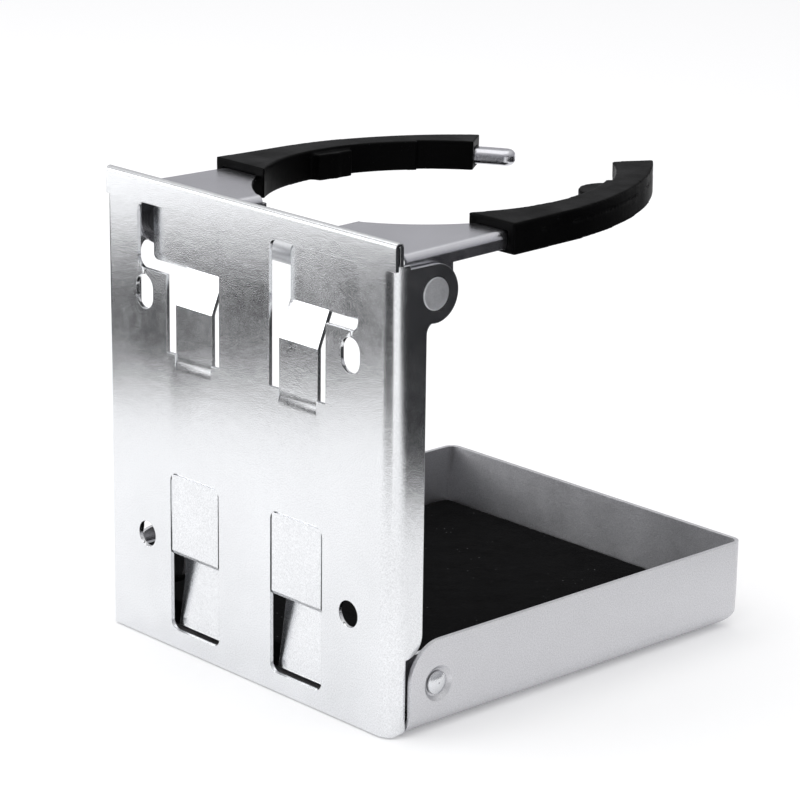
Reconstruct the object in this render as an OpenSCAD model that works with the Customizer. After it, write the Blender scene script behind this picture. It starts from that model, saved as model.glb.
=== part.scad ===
// Folding wall cup holder in pressed steel.
// Two arms fold down and slide on an axle, and a tray folds up on two rivets.
// Millimetres. +Z is up, the wall face is the plane y = 0 and the cup stands at -Y.
// The origin is the centre of the screw pattern on the wall face.
// "right" is the +X side and "left" the -X side, as a user in front of it sees them.

/* [Back plate] */
// Width over the side flanges
plate_w = 101.8; // [98:0.2:106]
// Height of the plate
plate_h = 115; // [112:0.5:118]
// Sheet thickness of the plate, arms and tray
sheet = 1.0; // [0.8:0.1:1.2]
// Outer radius of the bend between plate and left flange
bend_r = 4.5; // [3.5:0.1:5]
// Outer radius of the bend between plate and right flange
right_bend_r = 1.8; // [1.4:0.1:4.5]
// Depth of the side flanges
flange_d = 9.5; // [9:0.1:10.5]
// Height of the folded strip along the top
hem_h = 5.5; // [4.5:0.1:6]

/* [Screw holes] */
// Distance between the two columns
screw_dx = 73; // [70:0.5:76]
// Distance between the two rows
screw_dz = 60.6; // [58:0.2:62]
// Top edge of the plate above the middle of the pattern
plate_top = 58.3; // [57:0.1:59]
// Radius of the lower holes, and half the width of the upper slots
screw_r = 3.2; // [2.8:0.1:3.3]
// End to end length of the upper slots
slot_len = 8.4; // [7:0.1:9]

/* [Axle and arms] */
// Axle centre in front of the wall face
axle_y = -12.1; // [-12.4:0.1:-11.9]
// Axle centre height
axle_z = 45.2; // [44.8:0.1:45.6]
// Axle radius
axle_r = 2.75; // [2.5:0.05:3]
// Outer radius of the bushes that the arms turn on
bush_r = 4.2; // [3.6:0.1:4.6]
// Radial clearance of everything that runs on the axle
run_gap = 0.05; // [0.02:0.01:0.09]
// Radius of the plate's ears round the axle
ear_r = 6.7; // [6.2:0.1:7]
// Top of the arm plates above the axle
arm_up = 9.6; // [9:0.1:10]
// Depth of the arm's turned down edge
arm_edge = 4.0; // [3:0.1:5]
// Outer radius of the arm's edge bend
arm_bend = 1.8; // [1.2:0.1:2.2]
// How far in from its outer stop the right arm stands
right_in = 4.0; // [0:0.5:8]
// How far the right arm's front hangs below level, in degrees
right_droop = 0.5; // [-2:0.5:2]
// How far the left arm's front stands above level, in degrees
left_rise = 1.5; // [-2:0.5:2]

/* [Sleeves] */
// Rubber above the arm plate
rubber_up = 2.1; // [1.5:0.1:2.4]
// Height of a sleeve
sleeve_h = 7.4; // [7:0.1:8]
// Radius of the circle that the sleeves' inner sides follow
grip_r = 43; // [42:0.5:44]
// How far the grip bump stands in from the sleeve
bump_in = 5; // [3:0.5:6]

/* [Tray] */
// Tray pivot in front of the wall face
pivot_y = -13.6; // [-13.8:0.1:-13.4]
// Tray pivot height
pivot_z = -45.8; // [-46:0.1:-45.4]
// Overall width of the tray
tray_w = 104.4; // [104.2:0.1:105]
// Front face of the tray at its foot
tray_front = -115.2; // [-117:0.2:-113]
// How far the front wall leans out at its top edge
tray_lean = 2; // [0:0.1:3]
// Top edge of the tray
tray_top = -35.2; // [-36:0.1:-35]
// Underside of the tray
tray_bottom = -56.9; // [-57.5:0.1:-56.5]
// Outer radius of the bends under the tray
tray_bend = 5; // [3.5:0.1:5.5]
// Radius of the tray's upright front corners
tray_corner = 3.2; // [2.5:0.1:4]
// Thickness of the foam pad
pad_t = 6.3; // [4:0.1:6.9]

/* [Hidden] */
$fn = 96;
hx = plate_w / 2;                     // outer face of the side flanges
plate_bottom = plate_top - plate_h;
hem_z = plate_top - hem_h;            // the side flanges end here
head_r = 3.7;                         // radius of the axle's spread ends
hem_gap = 0.4;                        // air inside the folded strip
hem_ro = sheet + hem_gap / 2;         // outer radius of that fold
row = screw_dz / 2;
col = screw_dx / 2;
// upper spring tongues: a strip cut free up both sides, with a flag that leans forward
strip_a = 12.0;                       // inner edge of the strip
strip_b = 25.2;                       // outer edge of the strip
slit_w = 3.1;                         // width of the slits beside it
win_a = strip_a - slit_w;             // window, inner side
win_b = 39.0;                         // window, outer side
flag_b = 37.6;                        // outer edge of the flag
win_top = plate_top - 6.4;
win_low = plate_top - 22.3;           // lower side of the flag's window
strip_base = plate_top - 43;
step_low = plate_top - 28.4;          // where the strip starts to lean forward
step_top = plate_top - 20.6;
flag_top = plate_top - 7.9;
flag_y = -3.8;                        // back face of the flag
strip_y = -0.4;                       // the strip is pressed in this much
// lower tongues: hang from their top edge, with a flap that is pressed forward
low_a = 9.3;
low_b = 27.5;
low_top = plate_top - 72.6;
low_lip = plate_top - 91.2;
low_end = plate_top - 110.4;
flap_y = -4.6;                        // the flap's back face, where it is deepest
// arms, with the arm at its outer stop
arm_x = hx - sheet - 0.6;             // outer face of the arm
arm_in_x = 18.2;                      // inner face of the arm's inner ear
arm_top = axle_z + arm_up;
arm_ear_r = 6.7;
arm_rear = axle_y + 6.9;              // rear edge of the arm plate
cup_y = -58;                          // centre of the circle the arms grip
plate_hole_r = 45.2;                  // the arm plate's inner edge
turn_y = -50;                         // the outer edge is straight up to here
turn_r = 67.9;                        // and then follows this radius
tip_r = 2.6;                          // half the width of the arm's finger
tip_c = 48.5;                         // the finger follows this circle
bare_tip_a = 27.5;                    // where the right arm's finger ends, from straight ahead
covered_tip_a = 40.5;                 // and the left arm's, inside its sleeve
tip_h = 4.1;
wrap = 2.2;                           // rubber outside the arm's edge
sleeve_top = arm_top + rubber_up;
sleeve_low = sleeve_top - sleeve_h;
skin_x = arm_x + wrap;                // outer side of the sleeve
skin_turn_y = -52;                    // it is straight up to here
skin_r = 72.5;                        // and then follows this radius
front_r = 44.3;                       // inner radius of the sleeve's front part
seam_z = sleeve_top - 0.42 * sleeve_h;
// tray
tray_in = tray_w / 2 - sheet;
tray_rear = -4.9;
dish_in = 0.9;                        // depth of the pressed dish round the rivet
ear_x = tray_in - dish_in - 0.3;      // outer face of the lower ears
rivet_r = 2.2;
pad_top = tray_bottom + sheet + pad_t;
pad_rear = -9;

steel = [0.78, 0.79, 0.81];
arm_steel = [0.66, 0.66, 0.70];
black = [0.05, 0.05, 0.055];

// a copy on each side
module both() { children(); mirror([1, 0, 0]) children(); }
// an outline in Y and Z, given as [y, z], that is pushed along X from x0 to x1
module along_x(x0, x1) {
  translate([x0, 0, 0]) rotate([90, 0, 90]) linear_extrude(x1 - x0) children();
}
// an outline in X and Z that is pushed along Y from y0 (rear) to y1 (front)
module along_y(y0, y1) {
  translate([0, y0, 0]) rotate([90, 0, 0]) linear_extrude(y0 - y1) children();
}
// a box between two corners
module box(a, b) { translate(a) cube(b - a); }
// the children turned up about the axle by that angle
module raised(a) {
  translate([0, axle_y, axle_z]) rotate([-a, 0, 0]) translate([0, -axle_y, -axle_z]) children();
}
module rect(a, b) { translate(a) square(b - a); }
// a rectangle with the same radius at each corner
module round_rect(a, b, r) {
  rect([a.x + r, a.y], [b.x - r, b.y]);
  rect([a.x, a.y + r], [b.x, b.y - r]);
  for (x = [a.x + r, b.x - r], y = [a.y + r, b.y - r]) translate([x, y]) circle(r);
}

// ---------------------------------------------------------------- back plate
// half of the plate and one flange, seen from above
module half_channel(r) {
  difference() {
    union() {
      rect([0, -20], [hx, -r]);
      rect([0, -20], [hx - r, 0]);
      translate([hx - r, -r]) circle(r);
    }
    rect([-1, -21], [hx - sheet, -r]);
    rect([-1, -21], [hx - r, -sheet]);
    translate([hx - r, -r]) circle(r - sheet);
  }
}
module channel_outline() {
  half_channel(right_bend_r);
  mirror([1, 0]) half_channel(bend_r);
}
// the side flange as [y, z]: a plain strip with the ear for the axle at its top
module flange_outline() {
  low = plate_top - 96.8;
  rect([-bend_r, plate_bottom + 2], [0, hem_z]);
  rect([-flange_d + 5, low], [0, hem_z]);
  rect([-flange_d, low + 5], [0, hem_z - 5]);
  translate([-flange_d + 5, low + 5]) circle(5);
  translate([axle_y, axle_z]) circle(ear_r);
  rect([axle_y, axle_z], [0, axle_z + ear_r]);
  difference() {
    rect([axle_y, axle_z - ear_r - 2.2], [-flange_d + 0.5, axle_z - ear_r + 1]);
    translate([-flange_d - 2.6, axle_z - ear_r - 2.2]) circle(2.6);
  }
}
module hem() {
  fold_y = -hem_ro;
  box([-hx, -sheet, hem_z - 1], [hx, 0, plate_top - hem_ro]);
  box([-hx, -2 * hem_ro, hem_z], [hx, -sheet - hem_gap, plate_top - hem_ro]);
  along_x(-hx, hx) translate([fold_y, plate_top - hem_ro]) difference() {
    circle(hem_ro);
    circle(hem_gap / 2);
    rect([-3, -3], [3, 0]);
  }
}
// the ears that carry the tray's rivets stand in a little from the flanges
module lower_ear() {
  along_x(ear_x - 1.2, ear_x) {
    translate([pivot_y, pivot_z]) circle(7.6);
    rect([pivot_y, pivot_z - 6], [-2.6, pivot_z + 7.6]);
    rect([-7.5, pivot_z], [-2.6, pivot_z + 11]);
  }
}
module upper_window() {
  rotate([90, 0, 0]) linear_extrude(6, center = true) {
    round_rect([win_a, win_low], [win_b, win_top], 2.6);
    rect([win_a, win_low - 3], [win_a + 6, win_top - 3]);
    rect([win_a, strip_base + 1.8], [strip_b + slit_w, win_low + 3]);
    rect([strip_a, strip_base - 1.8], [strip_b, strip_base + 3]);
  }
}
module upper_tongue() {
  along_x(strip_a, strip_b) polygon([
    [0, strip_base - 2.6], [0, strip_base - 1.8], [strip_y, strip_base + 0.2],
    [strip_y, step_low - 0.7], [strip_y - 0.35, step_low + 0.3],
    [flag_y, step_top], [flag_y, step_top + 3],
    [flag_y - sheet, step_top + 3], [flag_y - sheet, step_top - 0.5],
    [strip_y - sheet - 0.2, step_low - 0.1], [strip_y - sheet, step_low - 0.9],
    [strip_y - sheet, strip_base], [-sheet, strip_base - 1.8], [-sheet, strip_base - 2.6]]);
  translate([0, flag_y, 0]) rotate([90, 0, 0]) linear_extrude(sheet)
    round_rect([strip_a, step_top - 0.2], [flag_b, flag_top], 1.4);
}
module lower_window() {
  rotate([90, 0, 0]) linear_extrude(6, center = true) {
    round_rect([low_a, low_end], [low_b, low_top + 2], 2.4);
  }
}
module lower_tongue() {
  side = 0.5;                         // width of the cut beside the tongue
  // a line is pressed along its top edge; below its lip a flap leans back out again
  along_x(low_a + side, low_b - side) polygon([
    [-0.7, low_top + 3], [-0.7, low_top + 1.5], [-0.1, low_top + 1.5], [-0.1, low_lip + 2.6],
    [-0.05, low_lip + 1], [-0.7, low_lip], [flap_y, low_lip - 2.2], [flap_y + 2.4, low_end + 0.6],
    [flap_y + 1.4, low_end + 0.5], [flap_y - 1, low_lip - 1.7], [-1.25, low_lip + 0.8],
    [-1.1, low_lip + 2.6], [-1.1, low_top + 1.2], [-1.35, low_top + 1.5], [-1.35, low_top + 3]]);
}
module back_plate() color(steel) {
  difference() {
    union() {
      intersection() {
        translate([0, 0, plate_bottom]) linear_extrude(hem_z - plate_bottom) channel_outline();
        union() {
          along_x(-hx, hx) flange_outline();
          box([-hx + bend_r, -2, plate_bottom], [hx - right_bend_r, 0, hem_z]);
          // the lower corners are cut round
          rotate([90, 0, 0]) linear_extrude(9, center = true)
            round_rect([-hx, plate_bottom], [hx, plate_bottom + 20], 1.6);
        }
      }
      both() lower_ear();
    }
    // the side walls stop above the tray's floor
    both() box([hx - bend_r - 1, -30, plate_bottom - 1], [hx + 1, -bend_r, plate_bottom + 5.6]);
    both() upper_window();
    both() lower_window();
    both() translate([col, 0, -row]) rotate([90, 0, 0]) cylinder(h = 9, r = screw_r, center = true);
    both() rotate([90, 0, 0]) linear_extrude(9, center = true) {
      for (s = [-1, 1]) translate([col, row + s * (slot_len / 2 - screw_r)]) circle(screw_r);
      rect([col - screw_r, row - slot_len / 2 + screw_r], [col + screw_r, row + slot_len / 2 - screw_r]);
    }
    // the axle's ends are spread into countersunk holes
    along_x(-hx - 1, hx + 1) translate([axle_y, axle_z]) circle(axle_r);
    both() translate([hx - sheet, axle_y, axle_z]) rotate([0, 90, 0])
      cylinder(h = sheet + 0.01, r1 = axle_r, r2 = head_r);
    both() along_x(ear_x - 3, ear_x + 3) translate([pivot_y, pivot_z]) circle(rivet_r);
  }
  hem();
  both() upper_tongue();
  both() lower_tongue();
}

// ---------------------------------------------------------------- axle and bushes
module arm_axle() color(steel) {
  along_x(-hx, hx) translate([axle_y, axle_z]) circle(axle_r);
  both() translate([hx - sheet, axle_y, axle_z]) rotate([0, 90, 0]) {
    cylinder(h = sheet, r1 = axle_r, r2 = head_r);
    translate([0, 0, sheet]) cylinder(h = 0.2, r = head_r);
  }
}

// tube that slides on the axle; the arm's two ears turn on it
module bush() {
  along_x(arm_in_x - 0.4, arm_x + 0.4) translate([axle_y, axle_z]) difference() {
    circle(bush_r);
    circle(axle_r + run_gap);
  }
}
module right_arm_bush() color(black) translate([-right_in, 0, 0]) bush();
module left_arm_bush() color(black) mirror([1, 0, 0]) bush();

// ---------------------------------------------------------------- arms
// the arm plate's outer side as seen from above, drawn "inset" inside the true edge
module arm_outer(inset) {
  rect([-60, turn_y], [arm_x - inset, 0]);
  intersection() {
    translate([arm_x - turn_r, turn_y]) circle(turn_r - inset, $fn = 180);
    rect([-60, -140], [60, turn_y]);
  }
}
module arm_plan() {
  difference() {
    intersection() {
      arm_outer(arm_bend + 0.3);
      union() {
        rect([arm_in_x + arm_bend, -92], [60, arm_rear]);
        rect([arm_in_x + 12, -99], [60, arm_rear]);
      }
    }
    translate([0, cup_y]) circle(plate_hole_r, $fn = 180);
  }
}
// section through the arm's turned down edge, whose outer face is at x_out
module edge_section(x_out) {
  translate([x_out, 0]) {
    rect([-sheet, -arm_edge], [0, -arm_bend]);
    rect([-arm_bend - 0.6, -sheet], [-arm_bend, 0]);
    bend_section();
  }
}
// a quarter of a bend: sheet that comes from the left and goes down
module bend_section() {
  translate([-arm_bend, -arm_bend]) difference() {
    intersection() {
      circle(arm_bend);
      square(arm_bend);
    }
    circle(arm_bend - sheet);
  }
}
module arm_edge_strip() {
  // straight part, then the part that follows the turn
  translate([0, arm_rear, arm_top]) rotate([90, 0, 0]) linear_extrude(arm_rear - turn_y)
    edge_section(arm_x);
  translate([arm_x - turn_r, turn_y, arm_top]) rotate([0, 0, -43.5])
    rotate_extrude(angle = 43.5, $fn = 180) edge_section(turn_r);
}
// one ear of the arm, from x0 outwards
module arm_ear(x0) {
  along_x(x0, x0 + sheet) {
    translate([axle_y, axle_z]) circle(arm_ear_r);
    rect([axle_y - arm_ear_r, axle_z], [axle_y + arm_ear_r, arm_top - arm_bend]);
  }
}
// the bend over the inner ear
module inner_bend() {
  translate([arm_in_x, 0, arm_top]) along_y(axle_y + 6.2, axle_y - 5.6) mirror([1, 0]) {
    bend_section();
    rect([-sheet, -arm_bend - 0.6], [0, -arm_bend]);
    rect([-arm_bend - 0.6, -sheet], [-arm_bend, 0]);
  }
}
// the blunt steel finger at the end of an arm
module finger_section() {
  round_rect([tip_c - tip_r, -tip_h], [tip_c + tip_r, -0.15], 1.5);
}
module finger(tip_a) {
  translate([0, cup_y, arm_top]) {
    rotate([0, 0, -90 + tip_a]) rotate_extrude(angle = 14, $fn = 180) finger_section();
    rotate([0, 0, -90 + tip_a]) translate([tip_c, 0, 0]) rotate_extrude() intersection() {
      translate([-tip_c, 0]) finger_section();
      rect([0, -tip_h], [tip_r, 0]);
    }
  }
}
module arm(tip_a) {
  difference() {
    union() {
      translate([0, 0, arm_top - sheet]) linear_extrude(sheet) arm_plan();
      arm_edge_strip();
      arm_ear(arm_x - sheet);
      arm_ear(arm_in_x);
      inner_bend();
      finger(tip_a);
    }
    along_x(10, 60) translate([axle_y, axle_z]) circle(bush_r + run_gap);
  }
}
module right_arm() color(arm_steel) translate([-right_in, 0, 0]) raised(-right_droop) arm(bare_tip_a);
module left_arm() color(arm_steel) mirror([1, 0, 0]) raised(left_rise) arm(covered_tip_a);

// ---------------------------------------------------------------- sleeves
// outline of a sleeve from above, "g" inside the rubber's skin; its inner side steps back
// at the angle step_a, counted from the side
module sleeve_plan(g, step_a) {
  difference() {
    union() {
      rect([0, skin_turn_y], [skin_x - g, 0]);
      intersection() {
        translate([skin_x - skin_r, skin_turn_y]) circle(skin_r - g, $fn = 180);
        rect([0, -140], [60, skin_turn_y]);
      }
    }
    translate([0, cup_y]) circle(grip_r + g, $fn = 180);
    intersection() {
      translate([0, cup_y]) circle(front_r + g, $fn = 180);
      translate([0, cup_y]) rotate(-90) square(90);
      translate([0, cup_y]) rotate(-step_a) rect([0, -90], [90, 0]);
    }
    rect([-61, -141], [15, 1]);
  }
}
// the grip bump on the inner side: a round nose with hollow flanks
module bump_plan(a, rise) {
  translate([0, cup_y]) rotate(-a) {
    intersection() {
      translate([grip_r + 1.2, 0]) circle(rise + 1.2);
      circle(grip_r + 3);
    }
    difference() {
      rect([grip_r - 2.6, -8.4], [grip_r + 1.4, 8.4]);
      for (s = [-1, 1]) translate([grip_r - 3.4, s * 9.2]) circle(4.2);
    }
  }
}
// a sleeve from rear_y to the angle end_a, with its bump at bump_a
module sleeve(rear_y, end_a, bump_a, rise, step_a, tip_a) {
  difference() {
    union() {
      difference() {
        translate([0, 0, sleeve_low]) linear_extrude(sleeve_h) intersection() {
          sleeve_plan(0, step_a);
          difference() {
            rect([0, -120], [60, rear_y]);
            // cut off along the end's own angle
            translate([0, cup_y]) rotate(-90 + end_a) rect([0, -90], [90, 0]);
          }
        }
      }
      translate([0, 0, sleeve_low]) linear_extrude(sleeve_h - 0.9) bump_plan(bump_a, rise);
    }
    // fine groove where the two halves of the mould met
    translate([0, 0, seam_z]) linear_extrude(0.5) difference() {
      sleeve_plan(-1, 90);
      sleeve_plan(0.35, 90);
      translate([0, cup_y]) circle(grip_r + 4.5, $fn = 180);
    }
    // the arm inside it
    translate([0, 0, arm_top - sheet - 0.02]) linear_extrude(sheet + 0.04) difference() {
      arm_outer(arm_bend - 0.3);
      translate([0, cup_y]) circle(plate_hole_r - 0.03, $fn = 180);
      rect([-61, -141], [arm_in_x + 12, -92]);
      rect([-61, -141], [60, -99]);
    }
    translate([0, -0.1, arm_top + 0.02]) rotate([90, 0, 0]) linear_extrude(-turn_y) slot_section(arm_x);
    translate([arm_x - turn_r, turn_y, arm_top + 0.02]) rotate([0, 0, -44])
      rotate_extrude(angle = 44.1, $fn = 180) slot_section(turn_r);
    translate([0, cup_y, arm_top]) rotate([0, 0, -90 + tip_a])
      rotate_extrude(angle = 14, $fn = 180)
        rect([tip_c - tip_r - 0.1, -tip_h - 0.1], [tip_c + tip_r + 0.1, -0.06]);
    translate([0, cup_y, arm_top - tip_h - 0.3]) rotate([0, 0, -90 + tip_a])
      translate([tip_c, 0, 0]) cylinder(h = tip_h + 0.2, r = tip_r + 0.3);
  }
}
module slot_section(x_out) {
  rect([x_out - arm_bend - 0.8, -arm_edge - 0.06], [x_out + 0.02, 0]);
}
module right_sleeve() color(black) translate([-right_in, 0, 0]) raised(-right_droop)
  sleeve(-31, 36.5, 3, bump_in - 2, 35, bare_tip_a);
module left_sleeve() color(black) mirror([1, 0, 0]) raised(left_rise)
  sleeve(-35.5, 34.5, 24, bump_in, 31, covered_tip_a);

// ---------------------------------------------------------------- tray
// the pan's solid outer shape, "g" inside the sheet's outer face
module pan_shape(g, top, rear) {
  r = tray_bend - g;
  bx = tray_w / 2 - g;
  bz = tray_bottom + g;
  fy = tray_front + g;
  intersection() {
    along_y(rear, tray_front - 5) {
      rect([-bx, bz + r], [bx, top]);
      rect([-bx + r, bz], [bx - r, top]);
      for (s = [-1, 1]) translate([s * (bx - r), bz + r]) circle(r);
    }
    along_x(-60, 60) {
      polygon([[fy, bz + r], [fy - tray_lean, tray_top], [fy - tray_lean, tray_top + 6],
        [rear, tray_top + 6], [rear, bz], [fy + r, bz]]);
      translate([fy + r, bz + r]) circle(r);
    }
    translate([0, 0, bz - 1]) linear_extrude(40) {
      ly = fy - tray_lean;
      c = tray_corner - g;
      rect([-bx, ly + c], [bx, rear]);
      rect([-bx + c, ly], [bx - c, rear]);
      for (s = [-1, 1]) translate([s * (bx - c), ly + c]) circle(c);
    }
  }
}
module tray() color(steel) {
  difference() {
    union() {
      difference() {
        pan_shape(0, tray_top, tray_rear);
        pan_shape(sheet, tray_top + 5, 5);
        // the rear corners are rounded
        along_x(-60, 60) difference() {
          rect([tray_rear - 9.4, tray_top - 9.4], [tray_rear + 1, tray_top + 1]);
          translate([tray_rear - 9.4, tray_top - 9.4]) circle(9.4);
        }
      }
      both() translate([tray_in + 0.1, pivot_y, pivot_z]) rotate([0, -90, 0])
        cylinder(h = dish_in + 0.1, r1 = 5.2, r2 = 4.3);
    }
    both() translate([tray_w / 2 - dish_in, pivot_y, pivot_z]) rotate([0, 90, 0])
      cylinder(h = dish_in + 0.01, r1 = 3.3, r2 = 4.3);
    along_x(-60, 60) translate([pivot_y, pivot_z]) circle(rivet_r + 0.06);
  }
}
// its lower edges are cut at 45 degrees, so that it clears the bends of the tray
module tray_pad() color(black) difference() {
  bx = tray_in - 0.3;
  fy = tray_front + sheet + 0.3;
  bz = tray_bottom + sheet + 0.05;
  c = tray_bend - sheet;
  intersection() {
    along_y(pad_rear + 1, fy - 1)
      polygon([[-bx - 1, bz + c + 1], [-bx - 1, pad_top], [bx + 1, pad_top], [bx + 1, bz + c + 1],
        [bx - c, bz], [-bx + c, bz]]);
    along_x(-bx - 2, bx + 2)
      polygon([[fy - 1, bz + c + 1], [fy - 1, pad_top + 1], [pad_rear + 2, pad_top + 1],
        [pad_rear + 2, bz - 1], [fy + c + 1, bz - 1]]);
    translate([0, 0, tray_bottom]) linear_extrude(20) round_rect([-bx, fy], [bx, pad_rear], 2.5);
  }
  // room for the plate's lower ears and the rivet heads
  both() translate([ear_x - 2.7, pivot_y, pivot_z]) rotate([0, 90, 0]) cylinder(h = 9, r = 8.3);
}
// a rivet that the tray turns on: shank, inner head, and a low dome outside
module tray_rivet() {
  translate([ear_x - 2.2, pivot_y, pivot_z]) rotate([0, 90, 0]) {
    cylinder(h = 1.0, r = 3.6);
    cylinder(h = tray_w / 2 - dish_in + 0.15 + 0.2 - ear_x + 2.2, r = rivet_r);
    translate([0, 0, tray_w / 2 - dish_in + 0.15 - ear_x + 2.2]) {
      cylinder(h = 0.3, r = 2.8);
      translate([0, 0, 0.3]) intersection() {
        cylinder(h = 2, r = 2.8);
        translate([0, 0, -5.6 + 0.7]) sphere(5.6);
      }
    }
  }
}
module right_tray_rivet() color(steel) tray_rivet();
module left_tray_rivet() color(steel) mirror([1, 0, 0]) tray_rivet();

back_plate();
arm_axle();
right_arm_bush();
left_arm_bush();
right_arm();
left_arm();
right_sleeve();
left_sleeve();
tray();
tray_pad();
right_tray_rivet();
left_tray_rivet();
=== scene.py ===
"""Folding wall cup holder: satin steel, rubber sleeves and a felt-faced pad on the CAD frame."""
import math

import bpy
from mathutils import Matrix, Vector


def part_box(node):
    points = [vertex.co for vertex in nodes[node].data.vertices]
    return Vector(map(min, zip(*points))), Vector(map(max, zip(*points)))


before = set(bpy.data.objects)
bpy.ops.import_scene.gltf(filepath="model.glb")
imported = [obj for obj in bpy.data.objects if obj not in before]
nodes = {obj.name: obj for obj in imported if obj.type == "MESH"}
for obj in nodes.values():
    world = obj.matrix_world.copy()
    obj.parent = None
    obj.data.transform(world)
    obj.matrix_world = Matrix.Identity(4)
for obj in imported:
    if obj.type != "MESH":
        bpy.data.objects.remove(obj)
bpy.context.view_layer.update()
scene = bpy.context.scene
MM = 0.001
WELD = 0.002 * MM                     # CAD vertices closer than this are one
EDGE_RADIUS = 0.15 * MM               # how softly a steel edge shades
EDGE_ANGLE = math.radians(17)         # the facets of a round bend meet at less than this

AXLE = Vector((0, -12.1, 45.2)) * MM  # a point on the axle's middle line
AIM = Vector((0, -50, 0)) * MM        # the lights point here
CAMERA = Vector((-520.4, 433.9, 214.7)) * MM
FLOOR_Z = min(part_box(n)[0][2] for n in nodes)


# ------------------------------------------------------------ shader helpers
class Shader:
    """A material with a Principled BSDF and short helpers that add nodes to it."""

    def __init__(self, name):
        self.mat = bpy.data.materials.new(name)
        self.mat.use_nodes = True
        self.tree = self.mat.node_tree
        self.bsdf = self.tree.nodes["Principled BSDF"]
        self.coord = self.tree.nodes.new("ShaderNodeTexCoord").outputs["Object"]

    def set(self, **values):
        for key, value in values.items():
            name = key.replace("_", " ").title().replace("Ior", "IOR")
            if isinstance(value, bpy.types.NodeSocket):
                self.tree.links.new(value, self.bsdf.inputs[name])
            else:
                self.bsdf.inputs[name].default_value = value

    def mapped(self, scale=(1, 1, 1), offset=(0, 0, 0)):
        n = self.tree.nodes.new("ShaderNodeMapping")
        n.inputs["Scale"].default_value = scale
        n.inputs["Location"].default_value = offset
        self.tree.links.new(self.coord, n.inputs["Vector"])
        return n.outputs["Vector"]

    def noise(self, scale, detail=3.0, rough=0.55, vector=None):
        n = self.tree.nodes.new("ShaderNodeTexNoise")
        n.inputs["Scale"].default_value = scale
        n.inputs["Detail"].default_value = detail
        n.inputs["Roughness"].default_value = rough
        self.tree.links.new(vector or self.coord, n.inputs["Vector"])
        return n.outputs["Fac"]

    def cells(self, scale):
        n = self.tree.nodes.new("ShaderNodeTexVoronoi")
        n.inputs["Scale"].default_value = scale
        self.tree.links.new(self.coord, n.inputs["Vector"])
        return n.outputs["Distance"]

    def fit(self, value, low, high, to_low, to_high):
        n = self.tree.nodes.new("ShaderNodeMapRange")
        names = ("From Min", "From Max", "To Min", "To Max")
        for name, v in zip(names, (low, high, to_low, to_high)):
            n.inputs[name].default_value = v
        self.tree.links.new(value, n.inputs["Value"])
        return n.outputs["Result"]

    def math(self, op, a, b):
        n = self.tree.nodes.new("ShaderNodeMath")
        n.operation = op
        for i, v in enumerate((a, b)):
            if isinstance(v, bpy.types.NodeSocket):
                self.tree.links.new(v, n.inputs[i])
            else:
                n.inputs[i].default_value = v
        return n.outputs[0]

    def mix(self, factor, a, b):
        n = self.tree.nodes.new("ShaderNodeMix")
        n.data_type = "RGBA"
        self.tree.links.new(factor, n.inputs["Factor"])
        for name, v in (("A", a), ("B", b)):
            socket = [s for s in n.inputs if s.name == name and s.type == "RGBA"][0]
            if isinstance(v, bpy.types.NodeSocket):
                self.tree.links.new(v, socket)
            else:
                socket.default_value = (*v, 1)
        return [s for s in n.outputs if s.type == "RGBA"][0]

    def bump(self, height, distance, strength=1.0, normal=None):
        n = self.tree.nodes.new("ShaderNodeBump")
        n.inputs["Strength"].default_value = strength
        n.inputs["Distance"].default_value = distance
        self.tree.links.new(height, n.inputs["Height"])
        if normal is not None:
            self.tree.links.new(normal, n.inputs["Normal"])
        return n.outputs["Normal"]


def steel(name, colour, rough, grain, sparkle=0.05, rings=None):
    """Satin stainless steel: fine grain, faint rolling lines, soft smears, and turned rings."""
    s = Shader(name)
    fine = s.noise(3200, 2, 0.6)
    coarse = s.noise(420, 4, 0.6)
    lines = s.noise(900, 2, 0.5, s.mapped((0.05, 1, 1)))
    smear = s.noise(38, 3, 0.6)
    tone = s.math("ADD", s.fit(fine, 0.3, 0.7, -sparkle, sparkle),
                  s.fit(smear, 0.3, 0.7, -0.03, 0.03))
    dark = tuple(c * 0.8 for c in colour)
    light = tuple(min(1, c * 1.16) for c in colour)
    s.set(base_color=s.mix(s.fit(tone, -0.12, 0.12, 0, 1), dark, light), metallic=1.0)
    r = s.math("ADD", s.fit(smear, 0.3, 0.7, -0.035, 0.045), s.fit(coarse, 0.3, 0.7, -0.02, 0.02))
    s.set(roughness=s.math("ADD", r, rough))
    edge = s.tree.nodes.new("ShaderNodeBevel")
    edge.samples = 4
    edge.inputs["Radius"].default_value = EDGE_RADIUS
    n = s.bump(fine, grain, normal=edge.outputs["Normal"])
    n = s.bump(lines, grain * 0.15, normal=n)
    n = s.bump(coarse, grain * 2.2, 0.5, normal=n)
    if rings:
        wave = s.tree.nodes.new("ShaderNodeTexWave")
        wave.wave_type, wave.rings_direction = "RINGS", "X"
        wave.inputs["Scale"].default_value = 130
        wave.inputs["Distortion"].default_value = 1.6
        wave.inputs["Detail"].default_value = 1
        s.tree.links.new(s.mapped(offset=tuple(-c for c in rings)), wave.inputs["Vector"])
        n = s.bump(wave.outputs["Fac"], 0.00006, 0.7, normal=n)
    s.set(normal=n)
    return s.mat


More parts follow.
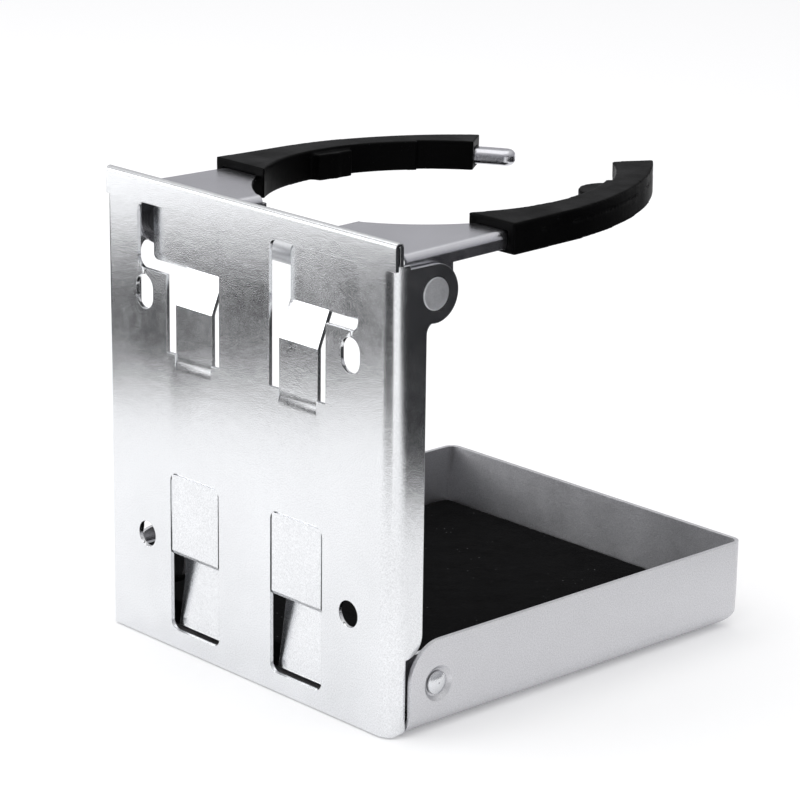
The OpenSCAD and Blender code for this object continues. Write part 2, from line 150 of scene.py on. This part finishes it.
def rubber():
    """Soft moulded rubber with a slight sheen, pale dust specks and a very fine skin."""
    s = Shader("sleeve rubber")
    dust = s.fit(s.cells(900), 0.10, 0.055, 0, 1)
    patchy = s.fit(s.noise(160, 2), 0.5, 0.66, 0, 1)
    specks = s.math("MULTIPLY", dust, patchy)
    s.set(base_color=s.mix(s.math("MULTIPLY", specks, 0.5),
                           (0.001, 0.001, 0.0011), (0.08, 0.08, 0.09)))
    s.set(roughness=s.fit(s.noise(120, 4), 0.3, 0.7, 0.36, 0.52), specular_ior_level=0.04)
    n = s.bump(s.noise(2600, 2), 0.00003)
    n = s.bump(s.noise(260, 3), 0.00012, 0.5, normal=n)
    s.set(normal=n)
    return s.mat


def felt():
    """Black felt face: short matted fibres, lint specks and a soft sheen at grazing angles."""
    s = Shader("pad felt")
    fibre_a = s.noise(2300, 4, 0.7, s.mapped((1, 0.25, 1)))
    fibre_b = s.noise(2100, 4, 0.7, s.mapped((0.25, 1, 1), (0.1, 0.2, 0)))
    nap = s.noise(120, 4, 0.6)
    lint = s.math("MULTIPLY", s.fit(s.cells(520), 0.11, 0.06, 0, 1),
                  s.fit(s.noise(90, 2), 0.5, 0.6, 0, 1))
    base = s.mix(s.fit(nap, 0.3, 0.7, 0, 1), (0.0015, 0.0015, 0.0018), (0.004, 0.004, 0.0045))
    s.set(base_color=s.mix(s.math("MULTIPLY", lint, 0.8), base, (0.2, 0.2, 0.21)))
    s.set(roughness=0.93, specular_ior_level=0.03, sheen_weight=0.02, sheen_roughness=0.5)
    n = s.bump(s.math("ADD", fibre_a, fibre_b), 0.0003, 0.8)
    n = s.bump(nap, 0.0005, 0.5, normal=n)
    s.set(normal=n)
    return s.mat


def acetal():
    """Black bush plastic with a slight gloss."""
    s = Shader("bush plastic")
    s.set(base_color=(0.02, 0.02, 0.021, 1), specular_ior_level=0.5)
    s.set(roughness=s.fit(s.noise(300, 3), 0.3, 0.7, 0.3, 0.42))
    s.set(normal=s.bump(s.noise(1800, 2), 0.00003))
    return s.mat


# ------------------------------------------------------------ the pieces
def modifier(obj, kind, name, **values):
    """Add a modifier and set its values."""
    m = obj.modifiers.new(name, kind)
    for key, value in values.items():
        setattr(m, key, value)
    return m


def finish_piece(name, mat):
    """Give a CAD node its material."""
    obj = nodes[name]
    obj.data.materials.clear()
    obj.data.materials.append(mat)
    return obj


def pressed(name, mat, edge=0.1, sheet=False):
    """A hard piece: welded CAD faces, edges broken by that many mm, smooth bends."""
    obj = finish_piece(name, mat)
    obj.data.shade_smooth()
    modifier(obj, "WELD", "weld", merge_threshold=WELD)
    modifier(obj, "BEVEL", "edges", width=edge * MM, segments=2, limit_method="ANGLE",
             angle_limit=EDGE_ANGLE, use_clamp_overlap=sheet)
    modifier(obj, "WEIGHTED_NORMAL", "flat faces stay flat", mode="FACE_AREA", weight=50,
             keep_sharp=False)
    return obj


def moulded(name, mat, cell, passes):
    """A soft piece: the CAD solid in cells of that many mm, with every edge run over softly."""
    obj = finish_piece(name, mat)
    obj.data.shade_smooth()
    modifier(obj, "WELD", "weld", merge_threshold=WELD)
    modifier(obj, "REMESH", "skin", mode="VOXEL", voxel_size=cell * MM, use_smooth_shade=True)
    modifier(obj, "SMOOTH", "soft edges", factor=0.5, iterations=passes)
    return obj


plate_steel = steel("plate steel", (0.80, 0.81, 0.825), 0.17, 0.000018, sparkle=0.09)
tray_steel = steel("tray steel", (0.68, 0.68, 0.70), 0.42, 0.00003, sparkle=0.09)
arm_steel = steel("arm steel", (0.62, 0.62, 0.655), 0.22, 0.00002, sparkle=0.03)
axle_steel = steel("axle steel", (0.75, 0.76, 0.78), 0.45, 0.00001, rings=AXLE)
rivet_steel = steel("rivet steel", (0.74, 0.75, 0.77), 0.2, 0.00001)
black_rubber, black_felt, black_plastic = rubber(), felt(), acetal()

pressed("back_plate", plate_steel, sheet=True)
pressed("tray", tray_steel, sheet=True)
for side in ("right", "left"):
    pressed(side + "_arm", arm_steel, sheet=True)
    pressed(side + "_tray_rivet", rivet_steel, edge=0.08)
    pressed(side + "_arm_bush", black_plastic)
    moulded(side + "_sleeve", black_rubber, cell=0.3, passes=5)
pressed("arm_axle", axle_steel)

pad = moulded("tray_pad", black_felt, cell=0.6, passes=6)
nap = bpy.data.textures.new("nap", "CLOUDS")
nap.noise_scale, nap.noise_depth = 3.5 * MM, 3
modifier(pad, "DISPLACE", "nap", texture=nap, strength=0.25 * MM, mid_level=0.5)


# ------------------------------------------------------------ floor, cards and light
def card(name, size, place, turn, colour, glow=0.0):
    """A matt rectangle that isn't part of the object, faintly glowing if asked."""
    bpy.ops.mesh.primitive_plane_add(size=1, location=place, rotation=turn)
    obj = bpy.context.object
    obj.name, obj.scale = name, (*size, 1)
    mat = bpy.data.materials.new(name)
    mat.use_nodes = True
    bsdf = mat.node_tree.nodes["Principled BSDF"]
    bsdf.inputs["Base Color"].default_value = (*colour, 1)
    bsdf.inputs["Roughness"].default_value = 0.9
    bsdf.inputs["Specular IOR Level"].default_value = 0.1
    if glow:
        bsdf.inputs["Emission Color"].default_value = (1, 1, 1, 1)
        bsdf.inputs["Emission Strength"].default_value = glow
    obj.data.materials.append(mat)
    return obj


def area(name, place, size, power):
    """A rectangular soft light at that place, turned to the object."""
    light = bpy.data.lights.new(name, "AREA")
    light.shape, light.size, light.size_y, light.energy = "RECTANGLE", *size, power
    obj = bpy.data.objects.new(name, light)
    scene.collection.objects.link(obj)
    obj.location = place
    obj.rotation_euler = (AIM - Vector(place)).to_track_quat("-Z", "Y").to_euler()
    return obj


def dark_card(name, bearing, near, far, width):
    """A dark card on the floor from near to far at that bearing: it shows only in the steel."""
    a = math.radians(bearing)
    mid = (near + far) / 2
    place = (mid * math.cos(a), mid * math.sin(a), FLOOR_Z + 4 * MM)
    obj = card(name, (far - near, width), place, (0, 0, a), (0.012, 0.012, 0.014))
    obj.visible_camera = obj.visible_shadow = obj.visible_diffuse = False


card("floor", (8, 8), (0, 0, FLOOR_Z - 0.2 * MM), (0, 0, 0), (0.93, 0.93, 0.935), glow=0.13)

# what the upper plate, its left bend and its left flange mirror
dark_card("dark card behind", 43, 0.235, 0.42, 0.8)
dark_card("dark card beside", 222, 0.2, 1.8, 0.9)
dark_card("dark card at the side", 100, 0.22, 0.8, 0.35)

area("top softbox", (0.1, 0.1, 1.1), (1.6, 1.6), 5.5)
area("rear softbox", (0.62, 0.58, 0.25), (0.8, 0.35), 2)

world = bpy.data.worlds.new("studio")
scene.world = world
world.use_nodes = True
tree = world.node_tree
background = tree.nodes["Background"]
coord = tree.nodes.new("ShaderNodeTexCoord")
split = tree.nodes.new("ShaderNodeSeparateXYZ")
ramp = tree.nodes.new("ShaderNodeValToRGB")
low, high = ramp.color_ramp.elements
low.position, low.color = 0.0, (0.42, 0.42, 0.45, 1)
high.position, high.color = 0.8, (1.0, 1.0, 1.0, 1)
tree.links.new(coord.outputs["Generated"], split.inputs[0])
tree.links.new(split.outputs["Z"], ramp.inputs["Fac"])
tree.links.new(ramp.outputs["Color"], background.inputs["Color"])
background.inputs["Strength"].default_value = 0.85
scene.view_settings.view_transform = "Standard"

# ------------------------------------------------------------ camera
azimuth, elevation, roll = math.radians(227.14), math.radians(16.657), math.radians(0.731)
back = Vector((math.sin(azimuth) * math.cos(elevation), -math.cos(azimuth) * math.cos(elevation),
               math.sin(elevation)))
level = Vector((0, 0, 1)).cross(back).normalized()
upright = back.cross(level)
right = math.cos(roll) * level + math.sin(roll) * upright
up = math.cos(roll) * upright - math.sin(roll) * level
lens = bpy.data.cameras.new("camera")
lens.sensor_width, lens.lens, lens.clip_start = 36, 138.2, 0.01
camera = bpy.data.objects.new("camera", lens)
scene.collection.objects.link(camera)
turn = Matrix((right, up, back)).transposed().to_4x4()
camera.matrix_world = Matrix.Translation(CAMERA) @ turn
scene.camera = camera
